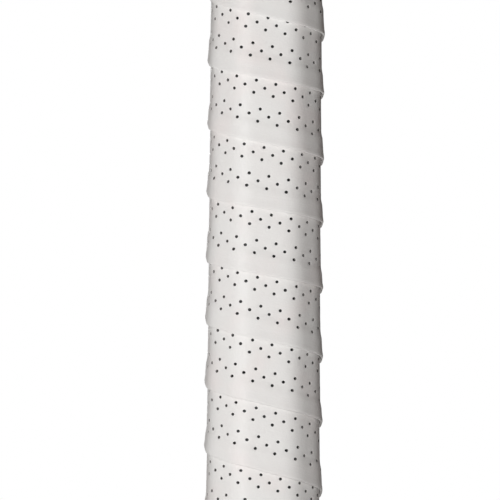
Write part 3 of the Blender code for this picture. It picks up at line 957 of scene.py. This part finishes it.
def carbon_material():
    """Painted carbon laminate: a faint twill under a clear gloss coat."""
    shader = Shader("carbon_laminate")
    weave = shader.add("ShaderNodeTexWave", wave_type="BANDS", bands_direction="DIAGONAL")
    weave.inputs["Scale"].default_value = 260
    weave.inputs["Distortion"].default_value = 0.6
    shader.link(shader.mapped((1, 1, 1)), weave.inputs["Vector"])
    color = shader.ramp(weave.outputs["Fac"], [(0.3, (0.012, 0.012, 0.014)), (0.7, (0.035, 0.036, 0.04))])
    rough = shader.ramp(weave.outputs["Fac"], [(0.3, 0.28), (0.7, 0.4)])
    shader.set(Coat_Weight=0.5, Coat_Roughness=0.12)
    normal = shader.bump(weave.outputs["Fac"], 0.12, 0.0001)
    return shader.finish(color, rough, normal)


def foam_material(name, dark, light):
    """Cellular foam, pitted all over, each pit coloured darker towards its middle as painted shade."""
    shader = Shader(name)
    cells = shader.cells(1500)
    # Painted shade: the same cells set the colour and the bump, so each pit is darkest where it sinks
    # deepest
    color = shader.ramp(cells, [(0.1, dark), (0.5, light)])
    normal = shader.bump(cells, 0.6, 0.0003)
    rough = shader.ramp(shader.noise(400), [(0.3, 0.8), (0.7, 0.95)])
    return shader.finish(color, rough, normal)


def steel_material():
    """Bright drawn staple wire."""
    shader = Shader("staple_wire")
    draw = shader.noise(1.0, detail=2, stretch=(300, 300, 4000))
    color = shader.ramp(draw, [(0.3, (0.5, 0.5, 0.52)), (0.7, (0.7, 0.7, 0.72))])
    rough = shader.ramp(draw, [(0.3, 0.22), (0.7, 0.4)])
    shader.set(Metallic=1.0)
    return shader.finish(color, rough)


def dress(piece, *finishes):
    """Give a new piece its materials, in the order of its faces' material numbers."""
    slots = piece.data.materials
    for number, finish in enumerate(finishes):
        if number < len(slots):
            slots[number] = finish
        else:
            slots.append(finish)


def paint(node, finish):
    """Give a CAD node a finished material."""
    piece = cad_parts[node]
    for slot in piece.material_slots:
        slot.material = finish


# ---- staging ----

def make_stage():
    """A pale round floor in white surroundings, which are dimmer as light than they look."""
    bpy.ops.mesh.primitive_circle_add(vertices=96, radius=FLOOR_RADIUS_M, fill_type="NGON",
                                      location=(0, 0, -FLOOR_DROP_M))
    floor = bpy.context.object
    floor.name = "floor"
    finish = Shader("floor_paper")
    tone = finish.ramp(finish.noise(12), [(0.3, 0.86), (0.7, 0.9)])
    finish.set(Roughness=0.95, Specular_IOR_Level=0.1, Emission_Color=(1, 1, 1, 1))
    glow = finish.add("ShaderNodeMapRange")
    finish.link(finish.add("ShaderNodeLightPath").outputs["Is Camera Ray"], glow.inputs["Value"])
    glow.inputs["To Min"].default_value = FLOOR_GLOW
    glow.inputs["To Max"].default_value = FLOOR_SEEN
    finish.link(glow.outputs["Result"], finish.principled.inputs["Emission Strength"])
    floor.data.materials.append(finish.finish(tone))

    world = bpy.data.worlds.new("studio")
    bpy.context.scene.world = world
    world.use_nodes = True
    tree = world.node_tree
    tree.nodes.clear()
    seen = tree.nodes.new("ShaderNodeBackground")
    seen.inputs["Color"].default_value = (1, 1, 1, 1)
    seen.inputs["Strength"].default_value = 1.0
    felt = tree.nodes.new("ShaderNodeBackground")
    felt.inputs["Color"].default_value = WORLD_COLOR
    felt.inputs["Strength"].default_value = WORLD_LIGHT
    path = tree.nodes.new("ShaderNodeLightPath")
    choose = tree.nodes.new("ShaderNodeMixShader")
    output = tree.nodes.new("ShaderNodeOutputWorld")
    tree.links.new(path.outputs["Is Camera Ray"], choose.inputs["Fac"])
    tree.links.new(felt.outputs["Background"], choose.inputs[1])
    tree.links.new(seen.outputs["Background"], choose.inputs[2])
    tree.links.new(choose.outputs["Shader"], output.inputs["Surface"])


def area_light(name, place, target, width, height, power):
    """A soft box that the camera doesn't see, turned to its target."""
    data = bpy.data.lights.new(name, "AREA")
    data.shape = "RECTANGLE"
    data.size, data.size_y = width, height
    data.energy = power
    light = bpy.data.objects.new(name, data)
    light.location = place
    light.rotation_euler = (Vector(target) - Vector(place)).to_track_quat("-Z", "Y").to_euler()
    light.visible_camera = False
    bpy.context.scene.collection.objects.link(light)


def make_camera():
    """A long lens on the middle of the wound grip."""
    data = bpy.data.cameras.new("camera")
    data.sensor_width = SENSOR_MM
    data.lens = SENSOR_MM * VIEW_DISTANCE_M / VIEW_SPAN_M
    data.clip_end = 20
    camera = bpy.data.objects.new("camera", data)
    camera.location = (VIEW_SIDE_M - VIEW_DISTANCE_M * math.sin(VIEW_TURN),
                       -VIEW_DISTANCE_M * math.cos(VIEW_TURN), VIEW_HEIGHT_M)
    camera.rotation_mode = "XYZ"
    camera.rotation_euler = (math.radians(90), VIEW_ROLL, -VIEW_TURN)
    bpy.context.scene.collection.objects.link(camera)
    bpy.context.scene.camera = camera


def make_lights():
    """A key from the front left, and a faint light from behind for the edges."""
    middle = (0, 0, VIEW_HEIGHT_M)
    area_light("key", (-0.27, -0.63, VIEW_HEIGHT_M + 0.03), middle, 0.27, 0.2, 3.5)
    area_light("back", (0.0, 0.5, VIEW_HEIGHT_M + 0.1), middle, 0.1, 0.3, 1.0)
    bpy.context.scene.view_settings.view_transform = "Standard"
    bpy.context.scene.view_settings.look = "None"


# ---- the scene ----

make_stage()
make_camera()
make_lights()

carbon = carbon_material()
core_foam = foam_material("core_foam_open", (0.35, 0.28, 0.14), (0.74, 0.64, 0.40))
pallet_foam = foam_material("pallet_foam_hard", (0.34, 0.33, 0.30), (0.58, 0.57, 0.53))
base_rubber = rubber_material("base_grip_black", (0.012, 0.012, 0.013), (0.022, 0.022, 0.024))
cap_plastic = rubber_material("cap_black", (0.02, 0.02, 0.022), (0.04, 0.04, 0.044), 1800, 0.2)
collar_rubber = rubber_material("collar_black", (0.022, 0.022, 0.024), (0.045, 0.045, 0.05), 900, 0.35)
white_film = film_material("finishing_white", (0.72, 0.72, 0.72), (0.8, 0.8, 0.8))
black_film = film_material("base_film_black", (0.015, 0.015, 0.016), (0.03, 0.03, 0.032))
steel = steel_material()

dress(make_overgrip(), overgrip_material(), hole_wall_painted_shade_material())
dress(make_base_grip(), base_rubber)
dress(make_film("finishing_tape_wound", "finishing_tape", tape_surface, 30), white_film)
dress(make_film("base_finishing_tape_wound", "base_finishing_tape",
                lambda fraction, z: BASE_OUTER - TAPE_INNER, 100), black_film)
dress(make_butt_cap(), cap_plastic)
dress(make_trap_door(), cap_plastic)
dress(make_collar(), collar_rubber)
for name in ("left", "right"):
    tube, core = make_leg(name)
    dress(tube, carbon)
    dress(core, core_foam)
paint("pallet_front", pallet_foam)
paint("pallet_back", pallet_foam)
for side in ("front", "back", "left", "right"):
    paint(f"cap_staple_{side}", steel)
